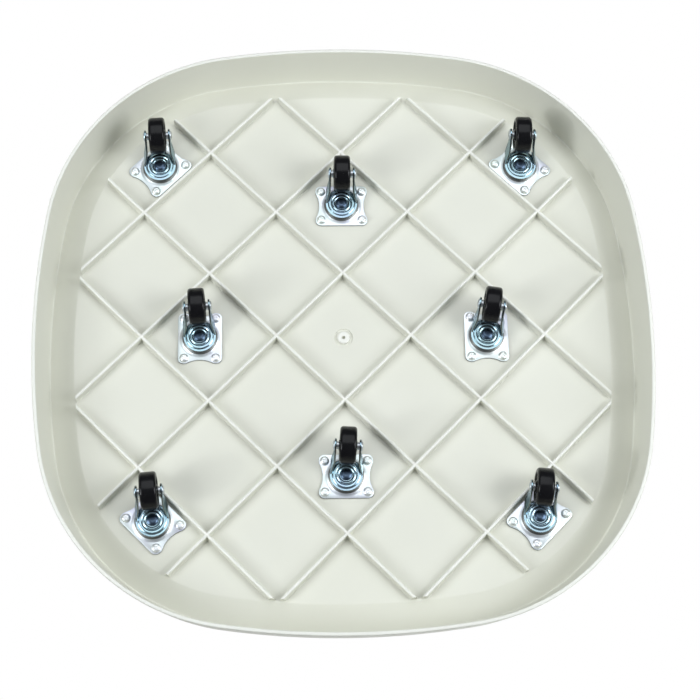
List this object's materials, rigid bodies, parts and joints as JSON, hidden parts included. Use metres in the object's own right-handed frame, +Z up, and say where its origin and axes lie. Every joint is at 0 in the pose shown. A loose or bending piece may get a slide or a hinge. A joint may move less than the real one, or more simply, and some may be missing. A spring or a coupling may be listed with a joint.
{
  "type": "rolling planter base",
  "caption": "Shallow rounded-square moulded tray on swivel plate casters, with a diamond-ribbed underside and a deep skirt; carries a floor planter and lets it be rolled.",
  "frame": {"origin": "middle of the footprint, on the ground under the wheels", "axes": "+Z up; -Y is the front, towards which the wheels trail; +X to the right seen from the front"},
  "size_m": [0.5266, 0.5266, 0.056],
  "materials": {
    "tray_plastic": "satin moulded",
    "plate_zinc": "bright zinc plate",
    "fork_zinc": "bright zinc plate",
    "rivet_steel": "zinc plate",
    "screw_zinc": "bright zinc plate",
    "ball_steel": "polished",
    "wheel_black": "gloss moulded"
  },
  "bodies": {
    "base": {"tray": "tray_plastic", "mounting_screws": "screw_zinc", "top_plate_front_left": "plate_zinc", "king_rivet_front_left": "rivet_steel", "top_plate_front_middle": "plate_zinc", "king_rivet_front_middle": "rivet_steel", "top_plate_front_right": "plate_zinc", "king_rivet_front_right": "rivet_steel", "top_plate_left_middle": "plate_zinc", "king_rivet_left_middle": "rivet_steel", "top_plate_right_middle": "plate_zinc", "king_rivet_right_middle": "rivet_steel", "top_plate_back_left": "plate_zinc", "king_rivet_back_left": "rivet_steel", "top_plate_back_middle": "plate_zinc", "king_rivet_back_middle": "rivet_steel", "top_plate_back_right": "plate_zinc", "king_rivet_back_right": "rivet_steel"},
    "swivel_front_left": {"fork_front_left": "fork_zinc", "bearing_balls_front_left": "ball_steel", "axle_front_left": "rivet_steel"},
    "roller_front_left": {"wheel_front_left": "wheel_black"},
    "swivel_front_middle": {"fork_front_middle": "fork_zinc", "bearing_balls_front_middle": "ball_steel", "axle_front_middle": "rivet_steel"},
    "roller_front_middle": {"wheel_front_middle": "wheel_black"},
    "swivel_front_right": {"fork_front_right": "fork_zinc", "bearing_balls_front_right": "ball_steel", "axle_front_right": "rivet_steel"},
    "roller_front_right": {"wheel_front_right": "wheel_black"},
    "swivel_left_middle": {"fork_left_middle": "fork_zinc", "bearing_balls_left_middle": "ball_steel", "axle_left_middle": "rivet_steel"},
    "roller_left_middle": {"wheel_left_middle": "wheel_black"},
    "swivel_right_middle": {"fork_right_middle": "fork_zinc", "bearing_balls_right_middle": "ball_steel", "axle_right_middle": "rivet_steel"},
    "roller_right_middle": {"wheel_right_middle": "wheel_black"},
    "swivel_back_left": {"fork_back_left": "fork_zinc", "bearing_balls_back_left": "ball_steel", "axle_back_left": "rivet_steel"},
    "roller_back_left": {"wheel_back_left": "wheel_black"},
    "swivel_back_middle": {"fork_back_middle": "fork_zinc", "bearing_balls_back_middle": "ball_steel", "axle_back_middle": "rivet_steel"},
    "roller_back_middle": {"wheel_back_middle": "wheel_black"},
    "swivel_back_right": {"fork_back_right": "fork_zinc", "bearing_balls_back_right": "ball_steel", "axle_back_right": "rivet_steel"},
    "roller_back_right": {"wheel_back_right": "wheel_black"}
  },
  "joints": [
    {"name": "swivel_front_left", "type": "hinge", "parent": "base", "child": "swivel_front_left", "pos_m": [-0.1612, -0.1612, 0.0373], "axis": [0, 0, 1], "continuous": true},
    {"name": "roll_front_left", "type": "hinge", "parent": "swivel_front_left", "child": "roller_front_left", "pos_m": [-0.16242, -0.18116, 0.016], "axis": [0.9981, -0.061, 0], "continuous": true},
    {"name": "swivel_front_middle", "type": "hinge", "parent": "base", "child": "swivel_front_middle", "pos_m": [0, -0.124, 0.0373], "axis": [0, 0, 1], "continuous": true},
    {"name": "roll_front_middle", "type": "hinge", "parent": "swivel_front_middle", "child": "roller_front_middle", "pos_m": [0.00017, -0.144, 0.016], "axis": [1, 0.0087, 0], "continuous": true},
    {"name": "swivel_front_right", "type": "hinge", "parent": "base", "child": "swivel_front_right", "pos_m": [0.1612, -0.1612, 0.0373], "axis": [0, 0, 1], "continuous": true},
    {"name": "roll_front_right", "type": "hinge", "parent": "swivel_front_right", "child": "roller_front_right", "pos_m": [0.16172, -0.18119, 0.016], "axis": [0.9997, 0.0262, 0], "continuous": true},
    {"name": "swivel_left_middle", "type": "hinge", "parent": "base", "child": "swivel_left_middle", "pos_m": [-0.124, 0, 0.0373], "axis": [0, 0, 1], "continuous": true},
    {"name": "roll_left_middle", "type": "hinge", "parent": "swivel_left_middle", "child": "roller_left_middle", "pos_m": [-0.12557, -0.01994, 0.016], "axis": [0.9969, -0.0785, 0], "continuous": true},
    {"name": "swivel_right_middle", "type": "hinge", "parent": "base", "child": "swivel_right_middle", "pos_m": [0.124, 0, 0.0373], "axis": [0, 0, 1], "continuous": true},
    {"name": "roll_right_middle", "type": "hinge", "parent": "swivel_right_middle", "child": "roller_right_middle", "pos_m": [0.12713, -0.01975, 0.016], "axis": [0.9877, 0.1564, 0], "continuous": true},
    {"name": "swivel_back_left", "type": "hinge", "parent": "base", "child": "swivel_back_left", "pos_m": [-0.1612, 0.1612, 0.0373], "axis": [0, 0, 1], "continuous": true},
    {"name": "roll_back_left", "type": "hinge", "parent": "swivel_back_left", "child": "roller_back_left", "pos_m": [-0.16294, 0.14128, 0.016], "axis": [0.9962, -0.0872, 0], "continuous": true},
    {"name": "swivel_back_middle", "type": "hinge", "parent": "base", "child": "swivel_back_middle", "pos_m": [0, 0.124, 0.0373], "axis": [0, 0, 1], "continuous": true},
    {"name": "roll_back_middle", "type": "hinge", "parent": "swivel_back_middle", "child": "roller_back_middle", "pos_m": [0.00122, 0.10404, 0.016], "axis": [0.9981, 0.061, 0], "continuous": true},
    {"name": "swivel_back_right", "type": "hinge", "parent": "base", "child": "swivel_back_right", "pos_m": [0.1612, 0.1612, 0.0373], "axis": [0, 0, 1], "continuous": true},
    {"name": "roll_back_right", "type": "hinge", "parent": "swivel_back_right", "child": "roller_back_right", "pos_m": [0.16294, 0.14128, 0.016], "axis": [0.9962, 0.0872, 0], "continuous": true}
  ]
}
